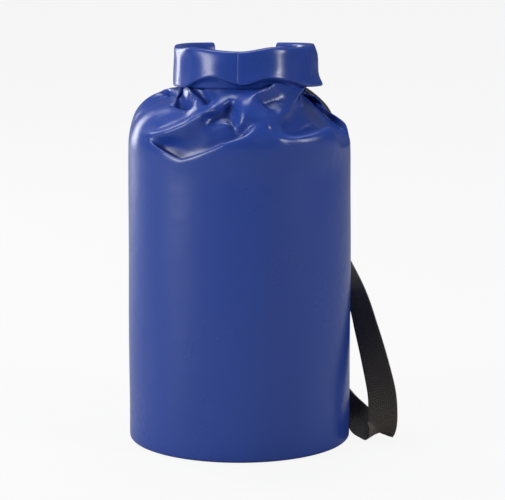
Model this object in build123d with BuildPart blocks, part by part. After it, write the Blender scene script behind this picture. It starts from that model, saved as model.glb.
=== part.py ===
"""Roll-top dry bag with a shoulder strap, in millimetres.

The frame: +Z up, +Y towards the back, where the strap and the buckle are, origin at the middle of the base's underside.
The bag stands closed: its mouth is rolled down, the roll is bent round into a ring and its ends are buckled together.
"""

import os
from math import cos, degrees, radians, sin

from build123d import *

# Sheet and webbing
sheet = 0.8  # coated fabric
webbing = 1.5  # thickness of every strap and tab
strap_width = 30.0
tab_width = 20.0  # the two buckle tabs
touch = 0.1  # gap between pieces that lie on each other
free = 0.3  # gap between pieces that move past each other

# Bag body
bag_radius = 112.5
side_height = 300.0
shoulder_rise = 63.6
ring_shift = 6.0  # the closed roll sits this far to the right of the bag's axis
roll_tilt = 7.0  # degrees: the buckled ends at the back are lower than the front
weld_height = 12.0
seam_width = 16.0

# Rolled mouth: a flat roll bent into an open ring
roll_radius = 66.0  # to the middle of the roll's thickness
roll_thickness = 14.0
roll_height = 41.0
roll_gap_angle = 60.8  # the part of the ring that the buckle closes
fold_drop = 10.0  # degrees in front of the side where each end folds back
stiffener = 1.0
stiffener_height = 18.0
core_rise = 14.0  # middle of the core above the underside: the buckle stays below the front edge

# Buckle, with its length along X
buckle_length = 59.0
buckle_height = 28.0
buckle_depth = 10.0
bar_radius = 2.0
prong_depth = 5.0

# Strap rings, both alike
wire = 4.0
ring_bars = 15.0  # between the middles of the two long bars
ring_play = 3.2  # how much longer than the webbing is wide
ring_corner = 3.2

# Where the strap is held
strap_azimuth = 42.0
strap_radius = 119.5
upper_bar_height = 304.0
lower_ring_height = 34.0
patch_angle = 30.0
patch_height = 52.0

# Strap slider
slider_rest = 228.0  # height of its middle bar
slider_length = 24.0
slider_bar = 4.0
rail = 2.5
slider_turn = 1.85  # radius of the turn that the strap makes round the middle bar
straight_end = 212.0  # the strap hangs straight down to this height
loop_split = 3.0  # degrees from the top of the ring's lower bar to where the strap and its end are parted

# Worked out from the sizes above
inner_radius = bag_radius - sheet
neck_height = side_height + shoulder_rise
roll_middle = free + core_rise
roll_inner = roll_radius - roll_thickness / 2
roll_outer = roll_radius + roll_thickness / 2
right_end = 90 - roll_gap_angle / 2
left_end = 90 + roll_gap_angle / 2
core_gap = stiffener + webbing + 2 * touch
bar_spread = (buckle_length - 7) / 2
buckle_y = roll_radius * sin(radians(right_end)) + 3
loop_inner = wire / 2 + 0.15
loop_outer = loop_inner + webbing
layer = (loop_inner + loop_outer) / 2
lower_bar_height = upper_bar_height - ring_bars

tilt = Vector(0, sin(radians(roll_tilt)), cos(radians(roll_tilt)))
roll_plane = Plane((ring_shift, 0, neck_height), x_dir=(1, 0, 0), z_dir=tilt)
hold = Vector(cos(radians(strap_azimuth)), sin(radians(strap_azimuth)), 0)
along = Vector(sin(radians(strap_azimuth)), -cos(radians(strap_azimuth)), 0)

os.makedirs("parts", exist_ok=True)


def save(builder, name):
    """Labels a finished piece and writes it as its own STEP file."""
    builder.part.label = name
    export_step(builder.part, f"parts/{name}.step")


def band(inner, outer, start, end):
    """Draws a flat ring's arc between two angles, in the active sketch."""
    with BuildLine() as outline:
        a = CenterArc((0, 0), outer, start, end - start)
        b = CenterArc((0, 0), inner, start, end - start)
        Line(a @ 0, b @ 0)
        Line(a @ 1, b @ 1)
    make_face(outline.edges())


# The bag's wall: a straight tube with a shoulder that narrows to the closed roll
def shoulder_circles(grow):
    """Sections of the shoulder, from the straight side to the neck: plane and radius."""
    sections = []
    for up, inward, share in ((0, 0, 0), (0.36, 0.11, 0.1), (0.72, 0.5, 0.5), (1, 1, 1)):
        lean = radians(share * roll_tilt)
        middle = (share * ring_shift, 0, side_height + up * shoulder_rise)
        plane = Plane(middle, x_dir=(1, 0, 0), z_dir=(0, sin(lean), cos(lean)))
        sections.append((plane, bag_radius - inward * (bag_radius - roll_radius) + grow))
    return sections


with BuildPart() as bag_wall:
    for grow, mode in ((0.0, Mode.ADD), (-sheet, Mode.SUBTRACT)):
        Cylinder(bag_radius + grow, side_height, align=(Align.CENTER, Align.CENTER, Align.MIN), mode=mode)
        for plane, radius in shoulder_circles(grow):
            with BuildSketch(plane):
                Circle(radius)
        loft(mode=mode)
save(bag_wall, "bag_wall")

# The round base and the welded flange that joins it to the wall
with BuildPart() as base_panel:
    Cylinder(inner_radius - touch, sheet, align=(Align.CENTER, Align.CENTER, Align.MIN))
save(base_panel, "base_panel")

with BuildPart() as base_weld_ring:
    with BuildSketch(Plane.XY.offset(sheet)):
        Circle(inner_radius - touch)
        Circle(inner_radius - touch - sheet, mode=Mode.SUBTRACT)
    extrude(amount=weld_height)
save(base_weld_ring, "base_weld_ring")

# The strip welded over the wall's one upright seam, at the back
seam_half = degrees(seam_width / 2 / bag_radius)
with BuildPart() as back_seam_strip:
    with BuildSketch(Plane.XY.offset(sheet)):
        band(bag_radius, bag_radius + sheet, 90 - seam_half, 90 + seam_half)
    extrude(amount=side_height - sheet)
save(back_seam_strip, "back_seam_strip")


# The rolled mouth, in three lengths that meet at the two folds
def rolled_length(start, end):
    """One length of the roll: a flat oval section with a slot for the stiffener at its core."""
    with BuildSketch(roll_plane.offset(free)) as section:
        band(roll_inner, roll_outer, start, end)
    extrude(section.sketch, amount=roll_height)
    long_edges = [e for e in edges() if e.length > 2 * roll_thickness and e.geom_type == GeomType.CIRCLE]
    fillet(long_edges, roll_thickness / 2 - 1)
    with BuildSketch(roll_plane.offset(roll_middle - tab_width / 2 - free)) as slot:
        band(roll_radius - core_gap / 2, roll_radius + core_gap / 2, start - 1, end + 1)
    extrude(slot.sketch, amount=tab_width + 2 * free, mode=Mode.SUBTRACT)


left_fold = 180 + fold_drop
right_fold = -fold_drop
fold_play = degrees(free / roll_outer)
with BuildPart() as roll_front:
    rolled_length(left_fold + fold_play, right_fold - fold_play + 360)
save(roll_front, "roll_front")

with BuildPart() as roll_left_end:
    rolled_length(left_end, left_fold)
save(roll_left_end, "roll_left_end")

with BuildPart() as roll_right_end:
    rolled_length(right_fold, right_end)
save(roll_right_end, "roll_right_end")

# The stiff strip along the mouth, at the core of the roll
stiffener_inset = degrees(14.0 / roll_radius)
with BuildPart() as mouth_stiffener:
    stiffener_inner = roll_radius - core_gap / 2 + touch / 2
    with BuildSketch(roll_plane.offset(roll_middle - stiffener_height / 2)):
        band(
            stiffener_inner,
            stiffener_inner + stiffener,
            left_end + stiffener_inset,
            right_end + 360 - stiffener_inset,
        )
    extrude(amount=stiffener_height)
save(mouth_stiffener, "mouth_stiffener")

# The mouth's gathered cloth, which closes the neck inside the ring
with BuildPart() as mouth_gather:
    with BuildSketch(roll_plane.offset(-sheet)):
        Circle(roll_radius - sheet - 2 * free)
    extrude(amount=sheet)
save(mouth_gather, "mouth_gather")


# The buckle that joins the roll's two ends
buckle_middle = roll_plane.from_local_coords((0, buckle_y, roll_middle))
buckle_plane = Plane(buckle_middle, x_dir=(1, 0, 0), z_dir=tilt)
mouth_x = 14.0  # where the socket's mouth is, from the buckle's middle
body_end = 21.6  # where the solid body stops and the frame for the tab starts
end_x = buckle_length / 2
wall = 3.0
half_height = buckle_height / 2


def buckle_end(side):
    """The open frame and round bar that a webbing tab loops round, at one end of the buckle."""
    length = end_x - body_end
    middle = side * (body_end + length / 2)
    with Locations(buckle_plane):
        for rail_side in (-1, 1):
            with Locations((middle, 0, rail_side * (half_height - wall / 2))):
                Box(length, 2 * bar_radius + 1, wall)
        with Locations((side * bar_spread, 0, 0)):
            Cylinder(bar_radius, buckle_height - wall)


with BuildPart() as buckle_socket:
    with Locations(buckle_plane):
        with Locations(((mouth_x - body_end) / 2, 0, 0)):
            Box(mouth_x + body_end, buckle_depth, buckle_height)
    fillet(edges().filter_by(Axis.X), 2.2)
    with Locations(buckle_plane):
        with Locations((2, 0, 0)):
            Box(2 * mouth_x - 4, prong_depth + 1, buckle_height - 2 * wall, mode=Mode.SUBTRACT)
        with Locations((-mouth_x + 9, 0, 0)):
            Box(9, prong_depth + 1, buckle_height + 1, mode=Mode.SUBTRACT)
    buckle_end(-1)
save(buckle_socket, "buckle_socket")

arm = 3.5
arm_z = half_height - wall - 0.6 - arm / 2
with BuildPart() as buckle_plug:
    with Locations(buckle_plane):
        with Locations(((mouth_x + free + body_end) / 2, 0, 0)):
            Box(body_end - mouth_x - free, buckle_depth - 1, buckle_height)
    fillet(edges().filter_by(Axis.X), 2.2)
    plug_plane = Plane(buckle_middle, x_dir=(1, 0, 0), z_dir=-roll_plane.y_dir)
    with BuildSketch(plug_plane):
        with Locations((mouth_x - 6, 0)):
            Rectangle(16, 4)
        for side in (-1, 1):
            with BuildLine():
                Polyline(
                    (mouth_x + 1, side * (arm_z - arm / 2)),
                    (mouth_x + 1, side * (arm_z + arm / 2)),
                    (-0.8, side * (arm_z + arm / 2)),
                    (-1.2, side * (half_height - 0.2)),
                    (-4.5, side * (half_height - 0.6)),
                    (-8.5, side * (arm_z + arm / 2 - 1)),
                    (-8.5, side * (arm_z - arm / 2)),
                    close=True,
                )
            make_face()
    extrude(amount=prong_depth / 2, both=True)
    buckle_end(1)
save(buckle_plug, "buckle_plug")


# The webbing tabs between the roll's ends and the buckle
def tab_outline(side, start, bar):
    """A tab from its root in the roll's core to its loop round the buckle's bar, seen from above."""
    with BuildLine() as route:
        swing = CenterArc((0, 0), roll_radius + core_gap / 2 - touch - webbing / 2, start, -side * 13)
        Line(swing @ 1, (bar.X, bar.Y + bar_radius + 0.15 + webbing / 2))
    trace(route.edges(), line_width=webbing)
    with Locations((bar.X, bar.Y)):
        Circle(bar_radius + 0.15 + webbing)
    with Locations((bar.X, bar.Y)):
        Circle(bar_radius + 0.15, mode=Mode.SUBTRACT)


with BuildPart() as left_tab:
    with BuildSketch(roll_plane.offset(roll_middle - tab_width / 2)):
        tab_outline(1, left_end + 12, Vector(-bar_spread, buckle_y))
    extrude(amount=tab_width)
save(left_tab, "left_tab")

with BuildPart() as right_tab:
    with BuildSketch(roll_plane.offset(roll_middle - tab_width / 2)):
        tab_outline(-1, right_end - 12, Vector(bar_spread, buckle_y))
    extrude(amount=tab_width)
save(right_tab, "right_tab")


# The two rectangular wire rings that hold the strap
def wire_ring(plane):
    """A closed loop of round wire, with its first long bar's middle at the plane's origin."""
    with BuildSketch(plane) as outline:
        with Locations((0, -ring_bars / 2)):
            RectangleRounded(strap_width + ring_play + wire, ring_bars, ring_corner)
    loop = outline.sketch.face().outer_wire()
    with BuildSketch(Plane(origin=loop @ 0, z_dir=loop % 0)) as section:
        Circle(wire / 2)
    sweep(section.sketch, path=loop)


upper_bar = hold * strap_radius + Vector(0, 0, upper_bar_height)
with BuildPart() as upper_ring:
    wire_ring(Plane(upper_bar, x_dir=along, z_dir=-hold))
save(upper_ring, "upper_ring")

pivot_bar = hold * strap_radius + Vector(0, 0, lower_ring_height)
with BuildPart() as lower_ring:
    wire_ring(Plane(pivot_bar, x_dir=(0, 0, 1), z_dir=hold))
save(lower_ring, "lower_ring")

# The tab from under the roll's right end to the upper ring, drawn from the side
tab_plane = Plane((0, 0, 0), x_dir=hold, z_dir=along)
tab_thickness = 2 * webbing
with BuildPart() as upper_tab:
    with BuildSketch(tab_plane):
        with BuildLine():
            FilletPolyline(
                (roll_outer + 5.2, neck_height - 7.6),
                (bag_radius - 14, side_height + 0.66 * shoulder_rise),
                (strap_radius - 1, side_height + 0.36 * shoulder_rise),
                (strap_radius + layer - 1, upper_bar_height + 1),
                radius=9,
            )
        trace(line_width=tab_thickness)
        with Locations((strap_radius, upper_bar_height)):
            Circle(loop_outer)
        with Locations((strap_radius, upper_bar_height)):
            Circle(loop_inner, mode=Mode.SUBTRACT)
    extrude(amount=strap_width / 2, both=True)
save(upper_tab, "upper_tab")

# The patch and tab that hold the lower ring
back_bar = pivot_bar - along * ring_bars
patch_start = strap_azimuth + 9
with BuildPart() as anchor_patch:
    with BuildSketch(Plane.XY.offset(lower_ring_height - patch_height / 2)):
        band(bag_radius + touch, bag_radius + touch + sheet, patch_start, patch_start + patch_angle)
    extrude(amount=patch_height)
save(anchor_patch, "anchor_patch")

tab_radius = bag_radius + sheet + 2 * touch + tab_thickness / 2
with BuildPart() as lower_tab:
    with BuildSketch(Plane.XY.offset(lower_ring_height - strap_width / 2)):
        with BuildLine():
            held = CenterArc((0, 0), tab_radius, strap_azimuth + 14, 18)
            Line(held @ 0, (back_bar.X + hold.X * layer, back_bar.Y + hold.Y * layer))
        trace(line_width=tab_thickness)
        with Locations((back_bar.X, back_bar.Y)):
            Circle(loop_outer)
        with Locations((back_bar.X, back_bar.Y)):
            Circle(loop_inner, mode=Mode.SUBTRACT)
    extrude(amount=strap_width)
save(lower_tab, "lower_tab")

# The shoulder strap: a straight stretch at the top, then a free loop beside the bag down to the floor.
# Each station is a point on its middle line and the way its width points.
strap_route = [
    ((120, 33.5, 137), (0.64, -0.68, 0.36)),
    ((130, 19, 106), (0.74, -0.55, 0.38)),
    ((138.5, 5, 75), (0.84, -0.40, 0.36)),
    ((145, -8, 46), (0.92, -0.22, 0.32)),
    ((146, -17, 24), (0.95, 0.0, 0.30)),
    ((141.5, -21.5, 8.5), (0.93, 0.22, 0.30)),
    ((131, -13, 8.5), (0.78, 0.52, 0.38)),
    ((122.5, -1, 16.5), (0.2, 0.3, 0.9)),
    ((117.5, 15, 20), (0, 0, 1)),
    ((113, 34, 25), (0, 0, 1)),
    ((105, 57, 31), (0, 0, 1)),
]
sections_per_span = 4

front_layer = hold * (strap_radius - layer)
straight_foot = front_layer + Vector(0, 0, straight_end)
first_turn = front_layer + (hold * 0.6 + along * 2.4) + Vector(0, 0, straight_end - 18)
second_turn = front_layer + (hold * 3.0 + along * 14.0) + Vector(0, 0, straight_end - 40)
strap_end = pivot_bar + hold * layer + along * 1.0
stations = (
    [(straight_foot, along), (first_turn, along), (second_turn, along)]
    + [(Vector(*point), Vector(*lean)) for point, lean in strap_route]
    + [(strap_end, Vector(0, 0, 1))]
)


def strap_sections():
    """Planes across the free stretch of strap, each with its X along the strap's width."""
    start_tangent = Vector(0, 0, -1)
    end_tangent = -along
    curve = Edge.make_spline([point for point, lean in stations], tangents=[start_tangent, end_tangent])
    marks = [curve.param_at_point(point) for point, lean in stations]
    planes = []
    for i in range(len(stations) - 1):
        steps = sections_per_span + (1 if i == len(stations) - 2 else 0)
        for k in range(steps):
            share = k / sections_per_span
            place = marks[i] + (marks[i + 1] - marks[i]) * share
            tangent = curve.tangent_at(place)
            lean = stations[i][1] * (1 - share) + stations[i + 1][1] * share
            across = (lean - tangent * lean.dot(tangent)).normalized()
            planes.append(Plane(curve.position_at(place), x_dir=across, z_dir=tangent))
    return planes


strap_plane = Plane((0, 0, 0), x_dir=hold, z_dir=along)
with BuildPart() as shoulder_strap:
    with BuildSketch(strap_plane):
        with BuildLine():
            Line((strap_radius - layer, straight_end), (strap_radius - layer, lower_bar_height))
            CenterArc((strap_radius, lower_bar_height), layer, 180, -90 + loop_split)
        trace(line_width=webbing)
    extrude(amount=strap_width / 2, both=True)
    for section in strap_sections():
        with BuildSketch(section):
            Rectangle(strap_width, webbing)
    loft(ruled=True)
    with BuildSketch(Plane.XY.offset(lower_ring_height - strap_width / 2)):
        with Locations((pivot_bar.X, pivot_bar.Y)):
            Circle(loop_outer)
            Circle(loop_inner, mode=Mode.SUBTRACT)
    extrude(amount=strap_width)
save(shoulder_strap, "shoulder_strap")

# The strap's end, back from the upper ring to the slider's middle bar
with BuildPart() as strap_return:
    with BuildSketch(strap_plane):
        with BuildLine():
            CenterArc((strap_radius, lower_bar_height), layer, 90 - loop_split, -90 + loop_split)
            run = Line((strap_radius + layer, lower_bar_height), (strap_radius + layer, slider_rest))
            turn = CenterArc((strap_radius + layer - slider_turn, slider_rest - 1.2), slider_turn, 0, -180)
            Line(run @ 1, turn @ 0)
            Line(turn @ 1, (strap_radius + layer - 2 * slider_turn, slider_rest + slider_length / 2))
        trace(line_width=webbing)
    extrude(amount=strap_width / 2, both=True)
save(strap_return, "strap_return")

# The slider: two side rails, two end bars behind the strap and a middle bar that the strap's end is sewn to
bar_level = strap_radius + layer - slider_turn
with BuildPart() as strap_slider:
    inner_face = strap_radius - layer - webbing / 2 - touch - 2
    outer_face = bar_level + 1
    reach = strap_width / 2 + 0.6
    for side in (-1, 1):
        with BuildSketch(strap_plane.offset(side * (reach + rail / 2) - rail / 2)):
            with Locations(((inner_face + outer_face) / 2, slider_rest)):
                Rectangle(outer_face - inner_face, slider_length)
        extrude(amount=rail)
    with BuildSketch(strap_plane):
        for end in (-1, 1):
            with Locations((inner_face + 1, slider_rest + end * (slider_length - slider_bar) / 2)):
                Rectangle(2, slider_bar)
        with Locations((bar_level, slider_rest)):
            Rectangle(2, 2.2)
    extrude(amount=reach + 0.1, both=True)
save(strap_slider, "strap_slider")
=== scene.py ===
"""The looks of a stuffed roll-top dry bag: coated sheet, rolled mouth, straps, rings and buckle."""

import logging
import math
from dataclasses import dataclass
from enum import Enum
from typing import Callable, Sequence

import bmesh
import bpy
import numpy as np
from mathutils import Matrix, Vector


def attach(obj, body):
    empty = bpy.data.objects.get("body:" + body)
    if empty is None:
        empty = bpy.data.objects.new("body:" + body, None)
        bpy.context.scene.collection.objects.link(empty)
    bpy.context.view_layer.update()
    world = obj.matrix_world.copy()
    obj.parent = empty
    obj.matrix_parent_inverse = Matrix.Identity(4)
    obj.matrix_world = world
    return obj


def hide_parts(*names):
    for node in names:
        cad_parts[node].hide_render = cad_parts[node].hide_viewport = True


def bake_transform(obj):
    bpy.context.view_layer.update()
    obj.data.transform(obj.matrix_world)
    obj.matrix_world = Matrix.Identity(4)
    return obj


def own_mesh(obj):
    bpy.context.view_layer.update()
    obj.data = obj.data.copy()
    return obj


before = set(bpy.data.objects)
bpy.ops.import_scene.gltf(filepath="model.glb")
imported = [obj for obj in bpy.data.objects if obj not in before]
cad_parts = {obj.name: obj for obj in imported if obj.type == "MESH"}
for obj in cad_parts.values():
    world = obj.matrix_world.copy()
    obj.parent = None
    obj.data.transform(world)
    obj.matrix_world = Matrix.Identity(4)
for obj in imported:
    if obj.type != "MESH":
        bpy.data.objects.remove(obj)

logging.basicConfig(level=logging.INFO, format="%(message)s")
log = logging.getLogger("dry_bag")

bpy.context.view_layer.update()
Point = tuple[float, float, float]
Place = Callable[[float, float], Vector]
SHEET = 0.0008  # The coated sheet's thickness, in metres.


class Mask(Enum):
    """What a shared node group puts out."""

    HEIGHT = "Height"
    MASK = "Mask"


# Shared shader effects -----------------------------------------------------------------------------


def new_group(name: str, inputs: dict[str, float], outputs: Sequence[Mask]) -> bpy.types.NodeTree:
    """Starts a shader node group.

    Args:
        name: the group's name.
        inputs: each input's name and its usual value.
        outputs: what the group puts out.

    Returns:
        The node tree, with its own input and output nodes named "in" and "out".
    """
    tree = bpy.data.node_groups.new(name, "ShaderNodeTree")
    for title, value in inputs.items():
        socket = tree.interface.new_socket(title, in_out="INPUT", socket_type="NodeSocketFloat")
        socket.default_value = value
    for output in outputs:
        tree.interface.new_socket(output.value, in_out="OUTPUT", socket_type="NodeSocketFloat")
    tree.nodes.new("NodeGroupInput").name = "in"
    tree.nodes.new("NodeGroupOutput").name = "out"
    return tree


def math_node(tree: bpy.types.NodeTree, operation: str, a: object, b: object = None) -> bpy.types.NodeSocket:
    """Adds a math node to a tree.

    Args:
        tree: the node tree.
        operation: the math operation's name.
        a: a socket or a number.
        b: a socket or a number, if the operation takes two.

    Returns:
        The node's output.
    """
    node = tree.nodes.new("ShaderNodeMath")
    node.operation = operation
    for index, value in enumerate((a, b)):
        if isinstance(value, bpy.types.NodeSocket):
            tree.links.new(value, node.inputs[index])
        elif value is not None:
            node.inputs[index].default_value = float(value)
    return node.outputs[0]


def noise_node(tree: bpy.types.NodeTree, detail: float = 2.0) -> bpy.types.Node:
    """Adds a noise texture that reads the piece's own coordinates.

    Args:
        tree: the node tree.
        detail: how fine the noise's smallest waves are.

    Returns:
        The noise node.
    """
    place = tree.nodes.new("ShaderNodeTexCoord")
    noise = tree.nodes.new("ShaderNodeTexNoise")
    noise.inputs["Detail"].default_value = detail
    tree.links.new(place.outputs["Object"], noise.inputs["Vector"])
    return noise


def flat_place(tree: bpy.types.NodeTree) -> tuple[bpy.types.NodeSocket, bpy.types.NodeSocket]:
    """Reads the piece's own UV map, which is in metres.

    Args:
        tree: the node tree.

    Returns:
        The place across the sheet and the place along it.
    """
    uv = tree.nodes.new("ShaderNodeUVMap")
    parts = tree.nodes.new("ShaderNodeSeparateXYZ")
    tree.links.new(uv.outputs[0], parts.inputs[0])
    return parts.outputs[0], parts.outputs[1]


def scrim_group() -> bpy.types.NodeTree:
    """The weave of the base cloth that shows faintly through a coating, on a diagonal of the sheet.

    Returns:
        A group that takes the threads' spacing in metres and puts out a height.
    """
    tree = new_group("scrim", {"Spacing": 0.0014}, [Mask.HEIGHT])
    across, along = flat_place(tree)
    turns = math_node(tree, "DIVIDE", 2 * math.pi, tree.nodes["in"].outputs["Spacing"])
    waves = []
    for sign in ("ADD", "SUBTRACT"):
        diagonal = math_node(tree, sign, across, along)
        waves.append(math_node(tree, "SINE", math_node(tree, "MULTIPLY", diagonal, turns)))
    both = math_node(tree, "MULTIPLY", waves[0], waves[1])
    tree.links.new(both, tree.nodes["out"].inputs[0])
    return tree


def handling_group() -> bpy.types.NodeTree:
    """Soft uneven patches on a surface, such as handling leaves.

    Returns:
        A group that takes a scale and puts out a mask from 0 to 1.
    """
    tree = new_group("handling", {"Scale": 9.0}, [Mask.MASK])
    noise = noise_node(tree, 4.0)
    tree.links.new(tree.nodes["in"].outputs["Scale"], noise.inputs["Scale"])
    tree.links.new(noise.outputs[0], tree.nodes["out"].inputs[0])
    return tree


def webbing_group() -> bpy.types.NodeTree:
    """Woven ribs that slant both ways from a strap's middle, and the warp threads along it.

    Returns:
        A group that takes the spacing of the ribs and of the warp in metres, and puts out a height.
    """
    tree = new_group("webbing", {"Rib": 0.0017, "Warp": 0.0021}, [Mask.HEIGHT])
    given = tree.nodes["in"].outputs
    slant, rib_share, warp_share = 0.35, 0.7, 0.3
    across, along = flat_place(tree)
    rib_turns = math_node(tree, "DIVIDE", 2 * math.pi, given["Rib"])
    warp_turns = math_node(tree, "DIVIDE", 2 * math.pi, given["Warp"])
    leant = math_node(tree, "MULTIPLY", math_node(tree, "ABSOLUTE", across), slant)
    slanted = math_node(tree, "ADD", along, leant)
    rib = math_node(tree, "SINE", math_node(tree, "MULTIPLY", slanted, rib_turns))
    warp = math_node(tree, "SINE", math_node(tree, "MULTIPLY", across, warp_turns))
    ribs = math_node(tree, "MULTIPLY", rib, rib_share)
    height = math_node(tree, "ADD", ribs, math_node(tree, "MULTIPLY", warp, warp_share))
    tree.links.new(height, tree.nodes["out"].inputs[0])
    return tree


class Effects:
    """The node groups that several finishes share, each built once."""

    scrim = scrim_group()
    handling = handling_group()
    webbing = webbing_group()


@dataclass(frozen=True)
class Finish:
    """What every finish has: its name, its two ends of colour and roughness, and the patches between them."""

    name: str
    colour: Point
    colour_worn: Point
    roughness: tuple[float, float]
    patch_range: tuple[float, float] = (0.15, 0.85)

    def start(self) -> tuple[bpy.types.Material, bpy.types.Node]:
        """Makes the material with uneven colour and roughness.

        Returns:
            The material and its Principled shader.
        """
        material = bpy.data.materials.new(self.name)
        material.use_nodes = True
        tree = material.node_tree
        shader = tree.nodes["Principled BSDF"]
        patches = tree.nodes.new("ShaderNodeGroup")
        patches.node_tree = Effects.handling
        blend = tree.nodes.new("ShaderNodeMix")
        blend.data_type = "RGBA"
        blend.inputs["A"].default_value = (*self.colour, 1)
        blend.inputs["B"].default_value = (*self.colour_worn, 1)
        tree.links.new(patches.outputs[0], blend.inputs["Factor"])
        tree.links.new(blend.outputs["Result"], shader.inputs["Base Color"])
        rough = tree.nodes.new("ShaderNodeMapRange")
        rough.interpolation_type = "SMOOTHSTEP"
        rough.inputs["From Min"].default_value = self.patch_range[0]
        rough.inputs["From Max"].default_value = self.patch_range[1]
        rough.inputs["To Min"].default_value = self.roughness[0]
        rough.inputs["To Max"].default_value = self.roughness[1]
        tree.links.new(patches.outputs[0], rough.inputs["Value"])
        tree.links.new(rough.outputs["Result"], shader.inputs["Roughness"])
        return material, shader

    def bump(
        self, material: bpy.types.Material, height: bpy.types.NodeSocket, depth: float, under: object = None
    ) -> bpy.types.Node:
        """Adds a bump node.

        Args:
            material: the material.
            height: the height's socket.
            depth: the bump's depth in metres.
            under: an earlier bump node that this one adds to.

        Returns:
            The bump node.
        """
        node = material.node_tree.nodes.new("ShaderNodeBump")
        node.inputs["Distance"].default_value = depth
        material.node_tree.links.new(height, node.inputs["Height"])
        if under is not None:
            material.node_tree.links.new(under.outputs["Normal"], node.inputs["Normal"])
        return node


@dataclass(frozen=True)
class Tarpaulin(Finish):
    """Coated fabric: a smooth satin skin with the base cloth's weave just showing. Depths are in metres."""

    name: str = "tarpaulin"
    colour: Point = (0.017, 0.050, 0.275)
    colour_worn: Point = (0.018, 0.052, 0.285)
    roughness: tuple[float, float] = (0.265, 0.295)
    weave_depth: float = 0.00001
    ripple_scale: float = 34.0
    ripple_depth: float = 0.0006
    refraction: float = 1.46
    coat: float = 0.12
    coat_roughness: float = 0.2

    def make(self) -> bpy.types.Material:
        """Builds the material.

        Returns:
            The material.
        """
        material, shader = self.start()
        tree = material.node_tree
        weave = tree.nodes.new("ShaderNodeGroup")
        weave.node_tree = Effects.scrim
        first = self.bump(material, weave.outputs[0], self.weave_depth)
        ripple = noise_node(tree)
        ripple.inputs["Scale"].default_value = self.ripple_scale
        second = self.bump(material, ripple.outputs[0], self.ripple_depth, first)
        tree.links.new(second.outputs["Normal"], shader.inputs["Normal"])
        shader.inputs["IOR"].default_value = self.refraction
        shader.inputs["Coat Weight"].default_value = self.coat
        shader.inputs["Coat Roughness"].default_value = self.coat_roughness
        return material


@dataclass(frozen=True)
class Webbing(Finish):
    """Woven polypropylene strap. The depth of its weave is in metres."""

    name: str = "webbing"
    colour: Point = (0.029, 0.021, 0.013)
    colour_worn: Point = (0.050, 0.038, 0.025)
    roughness: tuple[float, float] = (0.55, 0.72)
    weave_depth: float = 0.00035
    sheen: float = 0.35
    sheen_roughness: float = 0.5

    def make(self) -> bpy.types.Material:
        """Builds the material.

        Returns:
            The material.
        """
        material, shader = self.start()
        tree = material.node_tree
        weave = tree.nodes.new("ShaderNodeGroup")
        weave.node_tree = Effects.webbing
        node = self.bump(material, weave.outputs[0], self.weave_depth)
        tree.links.new(node.outputs["Normal"], shader.inputs["Normal"])
        shader.inputs["Sheen Weight"].default_value = self.sheen
        shader.inputs["Sheen Roughness"].default_value = self.sheen_roughness
        return material


@dataclass(frozen=True)
class Moulded(Finish):
    """Moulded plastic with a fine spark-eroded grain. The grain's depth is in metres."""

    name: str = "moulded_plastic"
    colour: Point = (0.014, 0.014, 0.015)
    colour_worn: Point = (0.022, 0.022, 0.023)
    roughness: tuple[float, float] = (0.36, 0.46)
    grain: float = 2400.0
    grain_depth: float = 0.00008

    def make(self) -> bpy.types.Material:
        """Builds the material.

        Returns:
            The material.
        """
        material, shader = self.start()
        noise = noise_node(material.node_tree)
        noise.inputs["Scale"].default_value = self.grain
        node = self.bump(material, noise.outputs[0], self.grain_depth)
        material.node_tree.links.new(node.outputs["Normal"], shader.inputs["Normal"])
        return material


@dataclass(frozen=True)
class CoatedSteel(Moulded):
    """Black coated wire, rubbed a little brighter in places."""

    name: str = "coated_steel"
    colour: Point = (0.016, 0.015, 0.014)
    colour_worn: Point = (0.05, 0.048, 0.045)
    roughness: tuple[float, float] = (0.24, 0.38)
    grain: float = 900.0


class Finishes:
    """The object's materials, each made once."""

    tarpaulin = Tarpaulin().make()
    webbing = Webbing().make()
    tab = Webbing(name="tab_webbing").make()
    moulded = Moulded().make()
    strip = Moulded(name="strip_plastic").make()
    steel = CoatedSteel().make()


# Shared shapes -------------------------------------------------------------------------------------


def to_object(name: str, bm: bmesh.types.BMesh) -> bpy.types.Object:
    """Turns a shape into an object in the scene.

    Args:
        name: the object's name.
        bm: the shape, which is freed.

    Returns:
        The new object.
    """
    mesh = bpy.data.meshes.new(name)
    bm.to_mesh(mesh)
    bm.free()
    piece = bpy.data.objects.new(name, mesh)
    bpy.context.scene.collection.objects.link(piece)
    return piece


def sheet_mesh(
    name: str, across: int, along: int, place: Place, size: tuple[float, float], welded: bool = False
) -> bpy.types.Object:
    """Lays a grid out as a sheet, and gives it a UV map in metres.

    Args:
        name: the piece's name.
        across: how many faces go across.
        along: how many faces go along.
        place: gives the point for a share across and a share along, each from 0 to 1.
        size: the sheet's flat width and length.
        welded: whether its two long edges meet in a seam.

    Returns:
        The new object, in the scene.
    """
    bm = bmesh.new()
    bmesh.ops.create_grid(bm, x_segments=across, y_segments=along, size=0.5)
    layer = bm.loops.layers.uv.new("UVMap")
    for face in bm.faces:
        for loop in face.loops:
            co = loop.vert.co
            loop[layer].uv = (co.x * size[0], (co.y + 0.5) * size[1])
    for vert in bm.verts:
        vert.co = place(vert.co.x + 0.5, vert.co.y + 0.5)
    if welded:
        bmesh.ops.remove_doubles(bm, verts=bm.verts, dist=1e-6)
    bmesh.ops.recalc_face_normals(bm, faces=bm.faces)
    for face in bm.faces:
        face.smooth = True
    return to_object(name, bm)


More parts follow.
